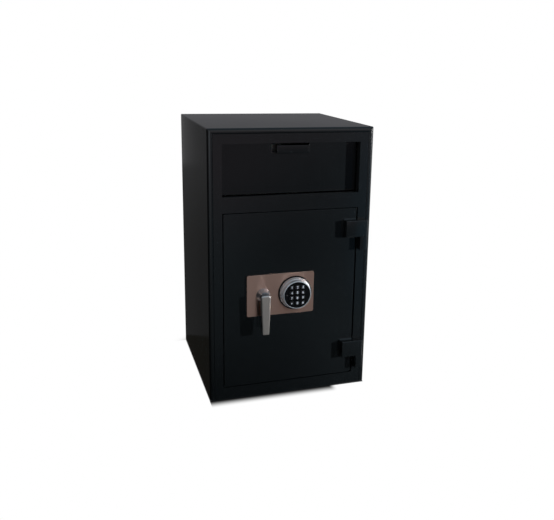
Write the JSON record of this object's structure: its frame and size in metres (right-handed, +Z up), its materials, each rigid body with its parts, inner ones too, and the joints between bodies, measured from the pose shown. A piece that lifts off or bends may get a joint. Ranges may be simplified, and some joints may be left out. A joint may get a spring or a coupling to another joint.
{
  "type": "drop safe with deposit drawer",
  "caption": "Black drop safe: a recessed pull-out deposit drawer with a trap floor above a hinged vault door with lever handle, round keypad lock and sliding locking bolts.",
  "frame": {"origin": "centre of the body's footprint on the floor", "axes": "+Z up; the front with door and drawer looks along -Y; the door hinges are at +X"},
  "size_m": [0.425, 0.4437, 0.7],
  "materials": {
    "black_paint": "semi-gloss black paint on steel",
    "inner_paint": "satin black paint on steel, inside the safe",
    "zinc_plate": "zinc-plated sheet steel",
    "steel": "ground bright steel",
    "chrome": "polished chrome plate",
    "satin_metal": "satin plated casting",
    "brushed_plate": "brushed warm grey metal plate",
    "black_plastic": "black moulded plastic",
    "key_rubber": "soft black key caps",
    "lens": "small red lamp lens",
    "brass": "plain turned and milled brass",
    "rubber": "black rubber"
  },
  "bodies": {
    "body": {"outer_shell": "black_paint", "base_plate": "black_paint", "back_panel": "black_paint", "front_frame": "black_paint", "drawer_collar": "inner_paint", "deposit_shelf": "inner_paint", "anti_fish_comb": "zinc_plate", "strike_bar": "inner_paint", "runner_left": "zinc_plate", "runner_right": "zinc_plate", "drawer_buffer_left": "rubber", "drawer_buffer_right": "rubber", "hinge_knuckle_upper": "black_paint", "hinge_knuckle_lower": "black_paint", "hinge_pin_upper": "steel", "hinge_pin_lower": "steel"},
    "door": {"door_plate": "black_paint", "door_pan": "inner_paint", "pan_cover": "inner_paint", "hinge_block_upper": "black_paint", "hinge_block_lower": "black_paint", "dead_bar": "steel", "lock_plate": "brushed_plate", "spindle_bush": "brass", "lock_case": "zinc_plate", "carriage_guide_lower": "steel", "carriage_guide_upper": "steel", "keypad_base": "black_plastic", "keypad_ring": "chrome", "keypad_face": "black_plastic", "status_led": "lens"},
    "handle": {"lever": "satin_metal", "lever_neck": "chrome", "spindle": "steel", "cam": "steel"},
    "carriage": {"bolt_carriage": "zinc_plate", "lock_arm": "zinc_plate", "bolt_lower": "steel", "bolt_middle": "steel", "bolt_upper": "steel"},
    "lock_tongue": {"lock_bolt": "brass"},
    "key_1": {"key_1": "key_rubber"},
    "key_2": {"key_2": "key_rubber"},
    "key_3": {"key_3": "key_rubber"},
    "key_4": {"key_4": "key_rubber"},
    "key_5": {"key_5": "key_rubber"},
    "key_6": {"key_6": "key_rubber"},
    "key_7": {"key_7": "key_rubber"},
    "key_8": {"key_8": "key_rubber"},
    "key_9": {"key_9": "key_rubber"},
    "key_star": {"key_star": "key_rubber"},
    "key_0": {"key_0": "key_rubber"},
    "key_hash": {"key_hash": "key_rubber"},
    "drawer": {"drawer_front": "black_paint", "drawer_lip": "black_paint", "drawer_box": "zinc_plate", "slide_left": "zinc_plate", "slide_right": "zinc_plate", "trap_rod": "steel"},
    "trap": {"trap_floor": "zinc_plate"}
  },
  "joints": [
    {"name": "door_hinge", "type": "hinge", "parent": "body", "child": "door", "pos_m": [0.1882, -0.216, 0.264], "axis": [0, 0, 1], "range_deg": [0, 95]},
    {"name": "lever_turn", "type": "hinge", "parent": "door", "child": "handle", "pos_m": [-0.0745, -0.21, 0.2795], "axis": [0, 1, 0], "range_deg": [0, 90]},
    {"name": "bolt_throw", "type": "slide", "parent": "door", "child": "carriage", "axis": [-1, 0, 0], "range_m": [0, 0.02]},
    {"name": "lock_bolt_rise", "type": "slide", "parent": "door", "child": "lock_tongue", "axis": [0, 0, 1], "range_m": [0, 0.009]},
    {"name": "key_1_press", "type": "slide", "parent": "door", "child": "key_1", "axis": [0, 1, 0], "range_m": [0, 0.001], "stiffness_N_per_m": 300},
    {"name": "key_2_press", "type": "slide", "parent": "door", "child": "key_2", "axis": [0, 1, 0], "range_m": [0, 0.001], "stiffness_N_per_m": 300},
    {"name": "key_3_press", "type": "slide", "parent": "door", "child": "key_3", "axis": [0, 1, 0], "range_m": [0, 0.001], "stiffness_N_per_m": 300},
    {"name": "key_4_press", "type": "slide", "parent": "door", "child": "key_4", "axis": [0, 1, 0], "range_m": [0, 0.001], "stiffness_N_per_m": 300},
    {"name": "key_5_press", "type": "slide", "parent": "door", "child": "key_5", "axis": [0, 1, 0], "range_m": [0, 0.001], "stiffness_N_per_m": 300},
    {"name": "key_6_press", "type": "slide", "parent": "door", "child": "key_6", "axis": [0, 1, 0], "range_m": [0, 0.001], "stiffness_N_per_m": 300},
    {"name": "key_7_press", "type": "slide", "parent": "door", "child": "key_7", "axis": [0, 1, 0], "range_m": [0, 0.001], "stiffness_N_per_m": 300},
    {"name": "key_8_press", "type": "slide", "parent": "door", "child": "key_8", "axis": [0, 1, 0], "range_m": [0, 0.001], "stiffness_N_per_m": 300},
    {"name": "key_9_press", "type": "slide", "parent": "door", "child": "key_9", "axis": [0, 1, 0], "range_m": [0, 0.001], "stiffness_N_per_m": 300},
    {"name": "key_star_press", "type": "slide", "parent": "door", "child": "key_star", "axis": [0, 1, 0], "range_m": [0, 0.001], "stiffness_N_per_m": 300},
    {"name": "key_0_press", "type": "slide", "parent": "door", "child": "key_0", "axis": [0, 1, 0], "range_m": [0, 0.001], "stiffness_N_per_m": 300},
    {"name": "key_hash_press", "type": "slide", "parent": "door", "child": "key_hash", "axis": [0, 1, 0], "range_m": [0, 0.001], "stiffness_N_per_m": 300},
    {"name": "drawer_slide", "type": "slide", "parent": "body", "child": "drawer", "axis": [0, -1, 0], "range_m": [0, 0.2]},
    {"name": "trap_swing", "type": "hinge", "parent": "drawer", "child": "trap", "pos_m": [0, -0.166, 0.571], "axis": [1, 0, 0], "range_deg": [0, 38]}
  ],
  "couplings": [
    {"joint": "lever_turn", "follows": "bolt_throw", "rad_per_m": 78.53},
    {"joint": "trap_swing", "follows": "drawer_slide", "rad_per_m": 3.316}
  ]
}
